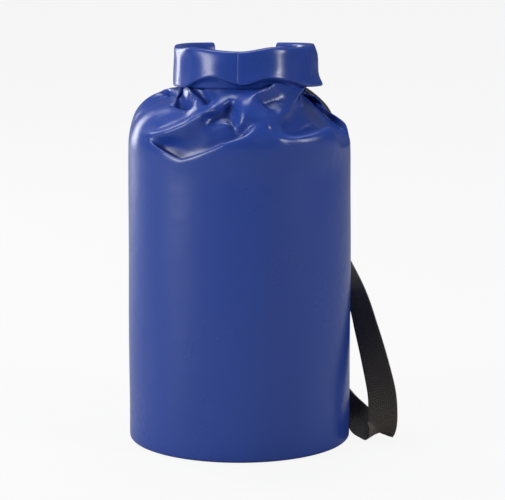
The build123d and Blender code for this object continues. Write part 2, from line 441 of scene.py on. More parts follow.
def thicken(piece: bpy.types.Object, thickness: float, offset: float, edge: float = 0.0) -> None:
    """Gives a sheet its thickness.

    Args:
        piece: the sheet.
        thickness: in metres.
        offset: -1 grows inwards, 1 outwards, 0 both ways.
        edge: how far its cut edges are rounded, in metres.
    """
    solid = piece.modifiers.new("thickness", "SOLIDIFY")
    solid.thickness = thickness
    solid.offset = offset
    if edge:
        bevel = piece.modifiers.new("edge", "BEVEL")
        bevel.width = edge
        bevel.segments = 2
        bevel.limit_method = "ANGLE"
        bevel.angle_limit = math.radians(50)


def dress(piece: bpy.types.Object, material: bpy.types.Material) -> None:
    """Gives a piece its one material.

    Args:
        piece: the piece.
        material: its material.
    """
    piece.data.materials.clear()
    piece.data.materials.append(material)


def smooth_step(value: float, low: float, high: float) -> float:
    """Rises smoothly from 0 at low to 1 at high."""
    share = min(1.0, max(0.0, (value - low) / (high - low)))
    return share * share * (3 - 2 * share)


def hump(value: float, middle: float, reach: float) -> float:
    """A smooth hump of height 1 that fades to nothing at reach on either side."""
    return 1 - smooth_step(abs(value - middle), 0.0, reach)


def smooth_weights(t: float) -> tuple[float, float, float, float]:
    """How much four neighbouring points count on the smooth curve between the middle two.

    Args:
        t: how far from the second point to the third, from 0 to 1.

    Returns:
        The four weights, which add up to 1.
    """
    return (
        (-t + 2 * t * t - t**3) / 2,
        (2 - 5 * t * t + 3 * t**3) / 2,
        (t + 4 * t * t - 3 * t**3) / 2,
        (-t * t + t**3) / 2,
    )


@dataclass(frozen=True)
class Station:
    """A point on a strap's middle line, and the way its width points there. Both are in millimetres."""

    point: Point
    lean: Point


def follow(stations: Sequence[Station], share: float) -> tuple[Vector, Vector]:
    """A point on the smooth line through some stations.

    Args:
        stations: the stations in order.
        share: how far along, from 0 to 1.

    Returns:
        The point in metres, and the width's direction.
    """
    spans = len(stations) - 1
    at = min(spans - 1e-9, share * spans)
    index = int(at)
    t = at - index
    near = [stations[min(spans, max(0, index + k))] for k in (-1, 0, 1, 2)]
    weights = smooth_weights(t)
    point = sum((Vector(s.point) * w for s, w in zip(near, weights)), Vector()) / 1000
    lean = sum((Vector(s.lean).normalized() * w for s, w in zip(near, weights)), Vector())
    return point, lean


@dataclass
class Strap:
    """A length of webbing laid through stations. Sizes are in metres, and step is the length of its faces."""

    name: str
    stations: Sequence[Station]
    width: float = 0.030
    thickness: float = 0.0015
    step: float = 0.0025
    edge: float = 0.0004
    columns: int = 10
    marks: int = 400
    reach: float = 0.004

    def build(self) -> bpy.types.Object:
        """Makes the strap's mesh, with its faces evenly spaced along it.

        Returns:
            The piece.
        """
        shares = np.linspace(0, 1, self.marks + 1)
        marks = [follow(self.stations, k / self.marks)[0] for k in range(self.marks + 1)]
        lengths = [0.0]
        for a, b in zip(marks, marks[1:]):
            lengths.append(lengths[-1] + (b - a).length)
        total = lengths[-1]

        def place(u: float, v: float) -> Vector:
            """Lays a point of the webbing.

            Args:
                u: the share across.
                v: the share along.

            Returns:
                The point.
            """
            share = float(np.interp(v * total, lengths, shares))
            point, lean = follow(self.stations, share)
            ahead = follow(self.stations, min(1.0, share + self.reach))[0]
            behind = follow(self.stations, max(0.0, share - self.reach))[0]
            tangent = (ahead - behind).normalized()
            side = (lean - tangent * lean.dot(tangent)).normalized()
            return point + side * ((u - 0.5) * self.width)

        rows = max(8, round(total / self.step))
        piece = sheet_mesh(self.name, self.columns, rows, place, (self.width, total))
        thicken(piece, self.thickness, 0.0, self.edge)
        return piece


# The bag -------------------------------------------------------------------------------------------


@dataclass
class ClosedRing:
    """Where the rolled mouth lies: an open ring, tilted down towards the back. Sizes are in metres."""

    centre_x: float = 0.006
    neck: float = 0.3636
    radius: float = 0.066
    tilt: float = math.radians(7.0)
    left_end: float = math.radians(120.4)
    right_end: float = math.radians(59.6 + 360)

    def at_angle(self, angle: float, out: float = 0.0, up: float = 0.0) -> Vector:
        """A point beside the ring's middle line.

        Args:
            angle: round the ring's middle, from +X.
            out: how far outwards.
            up: how far above the ring's underside.

        Returns:
            The point.
        """
        r = self.radius + out
        return self.local(r * math.cos(angle), r * math.sin(angle), up)

    def local(self, x: float, y: float, up: float) -> Vector:
        """A point in the ring's own tilted frame, measured from its middle."""
        s, c = math.sin(self.tilt), math.cos(self.tilt)
        return Vector((self.centre_x + x, y * c + up * s, self.neck - y * s + up * c))

    def up(self) -> Vector:
        """The ring's own upward direction."""
        return Vector((0, math.sin(self.tilt), math.cos(self.tilt)))

    def share(self, share: float) -> float:
        """The angle at a share of the ring's length, from 0 at its left end to 1 at its right end."""
        return self.left_end + (self.right_end - self.left_end) * share


RING = ClosedRing()


@dataclass(frozen=True)
class Crease:
    """A ridge or hollow of the shoulder: points in millimetres, each with its share from rim to roll."""

    name: str
    points: Sequence[tuple[float, float, float, float]]

    def run(self, step: float = 0.005) -> list[tuple[Vector, float]]:
        """Gives the crease's points, with more between two that are further apart than a step.

        Args:
            step: the usual gap between two points, in metres.

        Returns:
            Each point in metres, with its share.
        """
        found: list[tuple[Vector, float]] = []
        ends = [(Vector(p[:3]) / 1000, p[3]) for p in self.points]
        for (a, s), (b, t) in zip(ends, ends[1:]):
            parts = max(1, round((b - a).length / step))
            found += [(a.lerp(b, k / parts), s + (t - s) * k / parts) for k in range(parts)]
        return found + [ends[-1]]


# Folds of the front of the shoulder.
CREASES = (
    Crease(
        "long_lip",
        (
            (-92, -61, 320, 0.12), (-74, -83, 313, 0.07), (-58, -97, 307, 0.03), (-36, -107, 317, 0.10),
            (-15, -112, 327, 0.18), (7, -110, 335, 0.26), (20, -102, 346, 0.37),
        ),
    ),
    Crease(
        "long_hollow",
        (
            (-78, -68, 311, 0.18), (-58, -82, 302, 0.13), (-36, -91, 311, 0.20), (-15, -96, 321, 0.28),
            (3, -96, 330, 0.36),
        ),
    ),
    Crease(
        "hollow_back",
        (
            (-76, -66, 318, 0.26), (-54, -81, 320, 0.29), (-32, -90, 331, 0.36), (-9, -93, 343, 0.44),
        ),
    ),
    Crease(
        "upper_ridge",
        (
            (-92, -59, 321, 0.17), (-74, -76, 329, 0.36), (-53, -89, 341, 0.46), (-35, -93, 350, 0.56),
            (-30, -90, 355, 0.62),
        ),
    ),
    Crease("upper_dip", ((-82, -58, 330, 0.40), (-66, -66, 338, 0.52), (-50, -74, 346, 0.60))),
    Crease(
        "neck_ridge",
        (
            (-50, -42, 367, 0.92), (-44, -54, 363, 0.84), (-38, -66, 359, 0.78), (-32, -80, 355, 0.70),
        ),
    ),
    Crease("left_pocket", ((-58, -38, 344, 0.80), (-52, -45, 341, 0.80), (-47, -54, 346, 0.74))),
    Crease(
        "pocket_edge",
        (
            (-56, -24, 362, 0.92), (-63, -32, 357, 0.80), (-66, -42, 351, 0.68), (-56, -60, 350, 0.62),
        ),
    ),
    Crease("neck_dip", ((-36, -50, 360, 0.90), (-30, -62, 355, 0.82))),
    Crease("middle_ridge", ((-24, -85, 354, 0.66), (-16, -84, 360, 0.76), (-8, -78, 365, 0.86))),
    Crease("under_dip", ((-30, -82, 347, 0.56), (-20, -82, 349, 0.60))),
    Crease("middle_pocket", ((-8, -76, 356, 0.74), (-8, -82, 348, 0.60), (-7, -88, 340, 0.48))),
    Crease("pleat_edge", ((1, -90, 362, 0.80), (1, -97, 353, 0.64), (1, -102, 344, 0.48))),
    Crease("right_ridge", ((1, -90, 362, 0.80), (14, -85, 370, 0.88), (36, -69, 378, 0.96))),
    Crease("right_dip", ((22, -74, 360, 0.84), (38, -66, 362, 0.86), (30, -80, 354, 0.72))),
    Crease("saddle", ((14, -97, 357, 0.62), (27, -98, 352, 0.52), (29, -105, 343, 0.40))),
    Crease(
        "turned_ridge",
        (
            (68, -24, 362, 0.94), (56, -52, 358, 0.84), (45, -79, 352, 0.66), (37, -93, 346, 0.50),
            (34, -103, 338, 0.36), (41, -108, 330, 0.24),
        ),
    ),
    Crease(
        "right_hollow",
        (
            (64, -36, 352, 0.80), (56, -54, 345, 0.66), (49, -70, 339, 0.54), (44, -82, 332, 0.40),
            (52, -76, 329, 0.40), (62, -65, 330, 0.44), (74, -50, 334, 0.44),
        ),
    ),
    Crease(
        "strap_dent",
        (
            (56, 51, 349, 0.80), (65, 59, 341, 0.60), (74, 66, 331, 0.42), (80, 72, 320, 0.22),
        ),
    ),
    Crease(
        "strap_dent_front",
        (
            (65, 41, 350, 0.80), (74, 49, 342, 0.60), (83, 56, 332, 0.42), (89, 62, 321, 0.22),
        ),
    ),
    Crease(
        "strap_dent_back",
        (
            (47, 61, 348, 0.80), (56, 69, 340, 0.60), (65, 76, 330, 0.42), (71, 82, 319, 0.22),
        ),
    ),
    Crease(
        "right_lip",
        (
            (46, -105, 329, 0.22), (59, -99, 330, 0.24), (78, -83, 333, 0.28), (91, -67, 335, 0.30),
        ),
    ),
)


@dataclass
class BagWall:
    """The stuffed tube: a straight wall, and a shoulder that folds in under the roll. Sizes are in metres."""

    radius: float = 0.1125
    inset: float = 0.0004
    rim: float = 0.305
    columns: int = 330
    corner_rows: int = 6
    wall_rows: int = 40
    shoulder_rows: int = 62
    corner: float = 0.0035
    floor_gap: float = 0.0001
    sheet_length: float = 0.42
    smoothing_rounds: int = 3

    def wobble(self, angle: float, height: float) -> float:
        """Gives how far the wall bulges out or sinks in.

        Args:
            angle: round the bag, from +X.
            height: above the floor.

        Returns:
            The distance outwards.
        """
        low = math.sin(2 * angle + 9 * height) * math.sin(7 * height + 0.6)
        mid = math.sin(5 * angle - 16 * height + 1.1) * math.sin(21 * height + 0.4)
        dent = hump(angle, math.radians(331), 0.5) * hump(height, 0.075, 0.07)
        return (0.0006 * low + 0.00035 * mid) * smooth_step(height, 0.004, 0.06) - 0.0016 * dent

    def wall_point(self, angle: float, height: float, out: float = 0.0) -> Vector:
        """A point on the straight wall's outside, or a little outside it."""
        r = self.radius - self.inset + self.wobble(angle, height) + out
        return Vector((r * math.cos(angle), r * math.sin(angle), height))

    def shoulder_point(self, angle: float, t: float) -> Vector:
        """The smooth shoulder before its folds.

        Args:
            angle: round the bag, from +X.
            t: 0 at the rim, 1 under the roll.

        Returns:
            The point.
        """
        turn = math.degrees(angle) % 360
        front = turn >= 180
        share = (turn - 180) / 180 if front else (180 - turn) / 180
        end = RING.at_angle(RING.share(share), 0.0005 if front else -0.002, 0.001)
        c = math.cos(angle)
        start = self.wall_point(angle, self.rim)
        right, left = max(0.0, c) ** 2, max(0.0, -c) ** 2
        ahead = Vector((start.x - end.x, start.y - end.y, 0))
        ahead.normalize()
        first = Vector((start.x, start.y, 0.346 - 0.026 * right + 0.006 * left))
        reach = 0.026 - 0.012 * right + 0.006 * left
        second = end + ahead * reach - Vector((0, 0, 0.005 + 0.010 * right + 0.010 * left))
        if not front:
            second.z -= 0.006 * math.sin(math.pi * share)
        a, b = 1 - t, t
        point = start * a**3 + first * (3 * a * a * b) + second * (3 * a * b * b) + end * b**3
        bell = 4 * t * (1 - t) * (0.25 if front else 1.0) * smooth_step(t, 0.0, 0.3)
        pleat = 0.0042 * math.sin(6 * angle + 0.8 + 2 * t) + 0.0024 * math.sin(11 * angle + 5 * t)
        return point + Vector((math.cos(angle), math.sin(angle), 0.9)) * (pleat * bell)

    def place(self, u: float, v: float) -> Vector:
        """Lays out the tube's sheet: up the wall from the weld round its foot, then over the shoulder.

        Args:
            u: the share round the bag, from its back seam.
            v: the share of the rows, from the foot.

        Returns:
            The point.
        """
        angle = math.pi / 2 + 2 * math.pi * u
        row = v * (self.wall_rows + self.shoulder_rows)
        if row > self.wall_rows:
            return self.shoulder_point(angle, (row - self.wall_rows) / self.shoulder_rows)
        if row < self.corner_rows:
            bend = (1 - row / self.corner_rows) * math.pi / 2
            r = self.radius - self.inset - self.corner * (1 - math.cos(bend))
            height = self.corner * (1 - math.sin(bend)) + self.floor_gap
            return Vector((r * math.cos(angle), r * math.sin(angle), height))
        share = (row - self.corner_rows) / (self.wall_rows - self.corner_rows)
        height = self.corner + (self.rim - self.corner) * share
        return self.wall_point(angle, height)

    def fold(self, coords: np.ndarray) -> np.ndarray:
        """Pushes the shoulder's ridges out and its hollows in.

        Args:
            coords: the smooth tube's points.

        Returns:
            The folded tube's points.
        """
        run = [place for crease in CREASES for place in crease.run()]
        goals = np.array([tuple(point) for point, _ in run])
        found = [self.shoulder_point(math.atan2(point.y, point.x), share) for point, share in run]
        starts = np.array([tuple(point) for point in found])
        held = [self.wall_point(math.radians(a), 0.296) for a in range(0, 360, 8)]
        held += [self.wall_point(math.radians(a), 0.284) for a in range(0, 360, 12)]
        held += [self.shoulder_point(math.radians(a), 1.0) for a in range(0, 360, 8)]
        for a in range(4, 184, 12):
            held += [self.shoulder_point(math.radians(a), t) for t in (0.25, 0.5, 0.75)]
        still = np.array([tuple(p) for p in held])
        gap = np.sqrt(((still[:, None] - starts[None]) ** 2).sum(2)).min(1)
        still = still[gap > 0.007]
        anchors = np.vstack((starts, still))
        moves = np.vstack((goals - starts, np.zeros_like(still)))
        spread = np.sqrt(((anchors[:, None] - anchors[None]) ** 2).sum(2))
        weights = np.linalg.lstsq(spread + np.eye(len(anchors)) * 2e-4, moves, rcond=None)[0]
        reach = np.sqrt(((coords[:, None] - anchors[None]) ** 2).sum(2))
        fade = np.clip((coords[:, 2] - 0.272) / 0.02, 0, 1)[:, None]
        return coords + (reach @ weights) * fade

    def build(self) -> bpy.types.Object:
        """Makes the tube's mesh, with its folds.

        Returns:
            The piece.
        """
        rows = self.wall_rows + self.shoulder_rows
        size = (2 * math.pi * self.radius, self.sheet_length)
        piece = sheet_mesh("bag_shell", self.columns, rows, self.place, size, welded=True)
        mesh = piece.data
        flat = np.empty(len(mesh.vertices) * 3)
        mesh.vertices.foreach_get("co", flat)
        coords = self.fold(flat.reshape(-1, 3))
        mesh.vertices.foreach_set("co", coords.ravel())
        bm = bmesh.new()
        bm.from_mesh(mesh)
        shoulder = [v for v in bm.verts if v.co.z > 0.29]
        for _ in range(self.smoothing_rounds):
            bmesh.ops.smooth_vert(
                bm, verts=shoulder, factor=0.4, use_axis_x=True, use_axis_y=True, use_axis_z=True
            )
        bmesh.ops.recalc_face_normals(bm, faces=bm.faces)
        bm.to_mesh(mesh)
        bm.free()
        thicken(piece, SHEET, -1.0)
        dress(piece, Finishes.tarpaulin)
        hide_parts("bag_wall", "base_weld_ring", "mouth_gather")
        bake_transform(piece)
        return piece


@dataclass
class Foot:
    """The round base and its weld. Sizes are in metres."""

    radius: float = 0.1092

    def build(self) -> bpy.types.Object:
        """Makes the base as a disc with a welded rim and a slightly hollow middle.

        Returns:
            The piece.
        """
        bm = bmesh.new()
        middle = [(0.0, 0.0018), (0.040, 0.0016), (0.080, 0.0010), (0.096, 0.0006)]
        weld = [(0.0985, 0.0016), (0.1010, 0.0004), (self.radius, 0.0002), (self.radius + 0.0008, 0.0012)]
        profile = middle + weld
        verts = [bm.verts.new((x, 0, z)) for x, z in profile]
        edges = [bm.edges.new(pair) for pair in zip(verts, verts[1:])]
        bmesh.ops.spin(
            bm, geom=verts + edges, cent=(0, 0, 0), axis=(0, 0, 1), angle=2 * math.pi, steps=160,
            use_merge=True
        )
        bmesh.ops.remove_doubles(bm, verts=bm.verts, dist=1e-5)
        bmesh.ops.recalc_face_normals(bm, faces=bm.faces)
        if sum(f.normal.z for f in bm.faces) > 0:
            bmesh.ops.reverse_faces(bm, faces=bm.faces)
        layer = bm.loops.layers.uv.new("UVMap")
        for face in bm.faces:
            face.smooth = True
            for loop in face.loops:
                loop[layer].uv = loop.vert.co.xy
        piece = to_object("base_disc", bm)
        thicken(piece, SHEET, -1.0)
        dress(piece, Finishes.tarpaulin)
        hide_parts("base_panel")
        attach(piece, "bag")
        return piece


@dataclass
class BackSeam:
    """The strip over the wall's upright weld, and the patch for the lower ring. Sizes are in metres."""

    wall: BagWall
    strip_width: float = 0.016
    strip_low: float = 0.006
    strip_length: float = 0.293
    patch_low: float = 0.008
    patch_high: float = 0.060
    patch_out: float = 0.0010
    round_off: float = 0.008

    def strip(self) -> bpy.types.Object:
        """Makes the strip.

        Returns:
            The piece.
        """
        half = self.strip_width / 2 / self.wall.radius

        def place(u: float, v: float) -> Vector:
            """Lays a point of the strip, whose long edges sink into the wall.

            Args:
                u: the share across.
                v: the share along.

            Returns:
                The point.
            """
            angle = math.pi / 2 + (u - 0.5) * 2 * half
            out = 0.0009 - 0.0005 * smooth_step(abs(u - 0.5) * 2, 0.75, 1.0)
            return self.wall.wall_point(angle, self.strip_low + self.strip_length * v, out)

        piece = sheet_mesh("back_strip", 12, 120, place, (self.strip_width, self.strip_length))
        thicken(piece, SHEET, -1.0, 0.0002)
        dress(piece, Finishes.tarpaulin)
        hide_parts("back_seam_strip")
        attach(piece, "bag")
        return piece

    def patch(self) -> bpy.types.Object:
        """Makes the patch with rounded corners.

        Returns:
            The piece.
        """
        start, end = math.radians(51), math.radians(81)
        width, height = (end - start) * self.wall.radius, self.patch_high - self.patch_low
        flat_x, flat_y = width / 2 - self.round_off, height / 2 - self.round_off

        def place(u: float, v: float) -> Vector:
            """Lays a point of the patch.

            Args:
                u: the share across.
                v: the share up.

            Returns:
                The point.
            """
            x, y = (u - 0.5) * width, (v - 0.5) * height
            ax, ay = abs(x) - flat_x, abs(y) - flat_y
            if ax > 0 and ay > 0:
                reach, most = math.hypot(ax, ay), max(ax, ay)
                x = math.copysign(flat_x + ax / reach * most, x)
                y = math.copysign(flat_y + ay / reach * most, y)
            angle = (start + end) / 2 + x / self.wall.radius
            return self.wall.wall_point(angle, self.patch_low + height / 2 + y, self.patch_out)

        piece = sheet_mesh("lower_patch", 30, 28, place, (width, height))
        thicken(piece, SHEET, -1.0, 0.0002)
        dress(piece, Finishes.tarpaulin)
        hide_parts("anchor_patch")
        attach(piece, "bag")
        return piece


@dataclass
class RolledMouth:
    """The mouth, rolled down and bent into a ring: two lengths that meet at the front weld.

    Sizes are in metres, and the tables of the band's outline are in millimetres.
    """

    turns: float = 2.2
    per_turn: int = 44
    seam: float = math.radians(264)
    bend_x: float = 0.072
    bend_y: float = -0.012
    bend_up: float = 0.0208
    bend_reach: float = 0.012
    strip_width: float = 0.018
    strip_inset: float = 0.014
    # Places along the ring, in degrees, and what the band does at each of them, in millimetres: how far its
    # lower front edge is lifted, how high its top is, and how far its face, its foot and its crest stand out.
    marks: Sequence[float] = (
        120, 150, 175, 190, 205, 216, 228, 244, 257, 264, 272,
        283, 294, 300, 306, 315, 328, 342, 352, 365, 390, 420,
    )
    lower: Sequence[float] = (0, 0, 0, 0, 0, 0.5, 8, 13, 9, 4, 4, 11, 11, 8, 9, 5, 1, 0, 0, 0, 0, 0)
    upper: Sequence[float] = (
        40, 41, 41, 39, 39, 41, 40, 38.5, 37.5, 37, 37.5, 40, 42, 41.5, 40.5, 40, 40.5, 42, 42.5, 42, 41,
        40,
    )
    swell: Sequence[float] = (7, 7.5, 7, 6, 7, 6, 8, 9, 8, 6.5, 7, 6, 8, 8.5, 7, 6.5, 8, 7, 8, 8, 7.5, 7)
    foot: Sequence[float] = (6, 6, 6, 6, 7, 7, 8, 9, 8, 7.5, 8, 8, 9, 9, 8, 7, 7, 9, 12, 11, 7, 6)
    crest: Sequence[float] = (5, 5, 5.5, 6, 4, 7, 6, 5, 5, 5, 5, 5, 6, 6.5, 7.5, 4.5, 5, 5.5, 3, 4, 5, 5)

    def read(self, table: Sequence[float], degrees: float) -> float:
        """A value of one of the tables, in metres, at an angle in degrees, with its corners rounded."""
        spots = degrees + np.array((-7.5, -5, -2.5, 0, 2.5, 5, 7.5))
        return float(np.average(np.interp(spots, self.marks, table), weights=(1, 2, 3, 3, 3, 2, 1))) / 1000

    def outline(self, degrees: float) -> list[tuple[float, float]]:
        """Gives the rolled section's outermost turn at one place.

        Args:
            degrees: the place along the ring.

        Returns:
            The outline's points, as distances outwards and upwards.
        """
        lift, top = self.read(self.lower, degrees), self.read(self.upper, degrees)
        swell, foot = self.read(self.swell, degrees), self.read(self.foot, degrees)
        crest = self.read(self.crest, degrees)
        return [
            (0.0, 0.0006),
            (foot * 0.35, lift * 0.62 + 0.0004),
            (foot * 0.85, lift * 0.95 + 0.0004),
            (foot + 0.0006, lift + 0.0018),
            (swell, lift * 0.6 + 0.012),
            (swell - 0.0008, top * 0.72),
            (crest, top - 0.0012),
            (crest * 0.5, top + 0.0004),
            (-0.002, top + 0.0006),
            (-0.0055, top - 0.0025),
            (-0.0068, top * 0.7),
            (-0.0070, 0.015),
            (-0.0058, 0.004),
            (-0.003, 0.0014),
        ]

    def section(self, loop: Sequence[tuple[float, float]], turn: float) -> tuple[float, float]:
        """A point of the rolled section.

        Args:
            loop: the outermost turn's outline.
            turn: how many turns in from the sheet's outer end.

        Returns:
            How far outwards and upwards the point is.
        """
        at = (turn % 1.0) * len(loop)
        index, t = int(at), at % 1.0
        near = [loop[(index + k) % len(loop)] for k in (-1, 0, 1, 2)]
        weights = smooth_weights(t)
        out = sum(w * p[0] for w, p in zip(weights, near))
        up = sum(w * p[1] for w, p in zip(weights, near))
        return out * (1 - 0.24 * turn), 0.0205 + (up - 0.0205) * (1 - 0.07 * turn)

    def half(self, name: str, start: float, end: float, columns: int) -> bpy.types.Object:
        """Makes one length of the roll.

        Args:
            name: the piece's name.
            start: the angle where it starts.
            end: the angle where it ends.
            columns: how many faces it has along the ring.

        Returns:
            The piece.
        """
        outlines: dict[float, list[tuple[float, float]]] = {}

        def place(u: float, v: float) -> Vector:
            """Lays a point of the rolled sheet.

            Args:
                u: the share along the ring.
                v: the share of the turns, from the sheet's outer end.

            Returns:
                The point.
            """
            angle = start + (end - start) * u
            if angle not in outlines:
                outlines[angle] = self.outline(math.degrees(angle))
            out, up = self.section(outlines[angle], v * self.turns)
            seam = hump(angle, self.seam, 0.03)
            return RING.at_angle(angle, out - 0.0005 * seam, up)

        rows = round(self.turns * self.per_turn)
        piece = sheet_mesh(name, columns, rows, place, ((end - start) * RING.radius, 0.22))
        thicken(piece, SHEET, 0.0, 0.0002)
        dress(piece, Finishes.tarpaulin)
        return piece

    def bend(self, side: int) -> tuple[Point, Point]:
        """Gives two places near one end of the roll, one in front of it and one behind it.

        Args:
            side: -1 at the left, 1 at the right.

        Returns:
            The place in front and the place behind.
        """
        middle = RING.local(side * self.bend_x, self.bend_y, self.bend_up)
        reach = Vector((0, self.bend_reach, 0))
        return tuple(middle - reach), tuple(middle + reach)

    def build(self) -> list[bpy.types.Object]:
        """Makes both lengths.

        Returns:
            The left and the right length.
        """
        left = self.half("roll_left", RING.left_end, self.seam, 120)
        right = self.half("roll_right", self.seam - 0.004, RING.right_end, 130)
        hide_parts("roll_front", "roll_left_end")
        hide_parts("roll_right_end")
        start, end = self.bend(-1)
        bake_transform(left)
        start, end = self.bend(1)
        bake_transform(right)
        return [left, right]

    def strip(self, name: str, low: float, high: float) -> bpy.types.Object:
        """Makes one length of the strip in the roll's core.

        Args:
            name: the piece's name.
            low: the angle where it starts.
            high: the angle where it ends.

        Returns:
            The piece.
        """

        def place(u: float, v: float) -> Vector:
            """Lays the point at a share across the strip and a share along it."""
            return RING.at_angle(low + (high - low) * v, -0.0007, 0.0143 + (u - 0.5) * self.strip_width)

        piece = sheet_mesh(name, 4, 70, place, (self.strip_width, 0.14))
        thicken(piece, 0.001, 0.0)
        dress(piece, Finishes.strip)
        return piece

    def stiffener(self) -> list[bpy.types.Object]:
        """Makes the strip in the roll's core, in two lengths.

        Returns:
            The left and the right length.
        """
        inset = self.strip_inset / RING.radius
        left = self.strip("mouth_strip_left", RING.left_end + inset, self.seam)
        right = self.strip("mouth_strip_right", self.seam, RING.right_end - inset)
        start, end = self.bend(-1)
        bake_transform(left)
        start, end = self.bend(1)
        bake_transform(right)
        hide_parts("mouth_stiffener")
        return [left, right]


# Straps and tabs -----------------------------------------------------------------------------------


@dataclass
class Harness:
    """The straps, tabs and their hardware. Sizes are in millimetres."""

    bar_spread: float = 26.0
    tab_middle: float = 14.3
    lower_height: float = 34.0
    azimuth: float = math.radians(42)

    def held(self, out: float, height: float, side: float = 0.0) -> Point:
        """A point by how far it is from the bag's axis, its height, and its place in the strap's width."""
        c, s = math.cos(self.azimuth), math.sin(self.azimuth)
        return (c * out + s * side, s * out - c * side, height)

    def end_tab(self, name: str, side: int, body: str, node: str) -> bpy.types.Object:
        """Makes a tab from one end of the roll to the buckle.

        Args:
            name: the piece's name.
            side: -1 at the left, 1 at the right.
            body: the body it rides on.
            node: the CAD node it stands for.

        Returns:
            The piece.
        """
        bar_x = side * self.bar_spread
        route = [
            (side * 46, 48.1), (side * 40, 53.2), (side * 33, 58.8), (side * 29.5, 62.0), (bar_x, 63.0),
            (bar_x - side * 2.3, 61.9), (bar_x - side * 2.9, 59.8), (bar_x - side * 2, 57.6),
            (bar_x + side * 0.6, 57.0), (bar_x + side * 4, 58.8), (side * 35, 54.8), (side * 40, 50.8),
        ]
        up = tuple(RING.up())
        places = [RING.local(x / 1000, y / 1000, self.tab_middle / 1000) * 1000 for x, y in route]
        stations = [Station(tuple(point), up) for point in places]
        piece = Strap(name, stations, width=0.020, thickness=0.0014, step=0.0012).build()
        dress(piece, Finishes.tab)
        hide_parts(node)
        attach(piece, body)
        return piece

    def upper_tab(self) -> bpy.types.Object:
        """Makes the doubled tab from under the roll down to the upper ring.

        Returns:
            The piece.
        """
        down = (
            (62, 360), (71, 357), (80, 352), (89, 346), (98, 339), (106, 331.5), (113, 322.5),
            (118.6, 313.5), (121.6, 307.8),
        )
        turn = (
            (122.5, 304.2), (121.6, 302.0), (119.5, 301.1), (117.4, 302.0), (116.7, 304.2),
            (117.2, 307.4),
        )
        back = (
            (116.3, 313), (111.5, 321.2), (104.8, 330.2), (97, 337.6), (88, 344.6), (79, 350.5),
            (70, 355.3), (61, 358.3),
        )
        route = (*down, *turn, *back)
        lean = self.held(0, 0, 1)
        stations = [Station(self.held(out, height), lean) for out, height in route]
        piece = Strap("upper_tab_loop", stations, thickness=0.0015, step=0.0014).build()
        dress(piece, Finishes.webbing)
        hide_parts("upper_tab")
        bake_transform(piece)
        return piece

    def lower_tab(self) -> bpy.types.Object:
        """Makes the doubled tab that holds the lower ring on its patch.

        Returns:
            The piece.
        """
        route = (
            (31.9, 111.4), (42, 107.8), (51.5, 103.6), (60.5, 98.7), (67.5, 95.6), (75, 94.6),
            (80.3, 93.7), (81.6, 91.5), (80.9, 89.1), (78.5, 88.2), (76.3, 89.4), (75.3, 92.0),
            (72, 93.4), (66.5, 94.0), (59.6, 97.2), (50.7, 102.2), (41.4, 106.3), (31.4, 109.9),
        )
        stations = [Station((x, y, self.lower_height), (0, 0, 1)) for x, y in route]
        piece = Strap("lower_tab_loop", stations, thickness=0.0015, step=0.0012).build()
        dress(piece, Finishes.webbing)
        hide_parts("lower_tab")
        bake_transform(piece)
        return piece

    def strap(self) -> bpy.types.Object:
        """Makes the shoulder strap, from the upper ring down to the floor and back to the lower ring.

        Returns:
            The piece.
        """
        along = self.held(0, 0, 1)
        stations = [Station(self.held(119.3, 291.9), along), Station(self.held(117.4, 291), along)]
        stations += [Station(self.held(116.6, z), along) for z in (287, 272, 257, 242, 227, 212)]
        stations += [Station(self.held(117.2, 194, 2.4), along), Station(self.held(119.6, 172, 14), along)]
        route = (
            ((120, 33.5, 137), (0.64, -0.68, 0.36)),
            ((130, 19, 106), (0.74, -0.55, 0.38)),
            ((138.5, 5, 75), (0.84, -0.40, 0.36)),
            ((145, -8, 46), (0.92, -0.22, 0.32)),
            ((146, -17, 24), (0.95, 0.0, 0.30)),
            ((144.5, -21, 13), (0.95, 0.04, 0.28)),
            ((140.5, -19.5, 7.4), (0.94, 0.12, 0.28)),
            ((134, -10, 8.8), (0.86, 0.28, 0.40)),
            ((126, 3, 12.5), (0.62, 0.36, 0.70)),
            ((119, 18, 18.5), (0.22, 0.18, 0.96)),
            ((113, 34, 25), (0, 0, 1)),
            ((105, 57, 31), (0, 0, 1)),
            ((91.6, 81.2, 34), (0, 0, 1)),
            ((89.6, 82.9, 34), (0, 0, 1)),
            ((87.0, 82.3, 34), (0, 0, 1)),
            ((86.6, 78.4, 34), (0, 0, 1)),
            ((90.5, 74.6, 33.6), (0, 0, 1)),
            ((97, 66, 32.4), (0, 0, 1)),
            ((103.4, 56.0, 31), (0, 0, 1)),
        )
        stations += [Station(point, lean) for point, lean in route]
        piece = Strap("shoulder_webbing", stations, thickness=0.0015, step=0.002).build()
        dress(piece, Finishes.webbing)
        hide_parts("shoulder_strap")
        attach(piece, "strap")
        return piece

    def strap_end(self) -> bpy.types.Object:
        """Makes the strap's end, doubled back from the upper ring to the slider.

        Returns:
            The piece.
        """
        route = (
            (119.3, 291.9), (121.5, 291.1), (122.4, 288.5), (122.4, 276), (122.4, 262), (122.4, 248),
            (122.4, 236), (122.4, 228), (121.8, 225.6), (120.5, 224.9), (119.2, 225.7), (118.7, 228),
            (118.7, 234), (118.7, 240),
        )
        lean = self.held(0, 0, 1)
        stations = [Station(self.held(out, height), lean) for out, height in route]
        piece = Strap("webbing_end", stations, thickness=0.0015, step=0.0014).build()
        dress(piece, Finishes.webbing)
        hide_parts("strap_return")
        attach(piece, "strap")
        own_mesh(piece)
        return piece

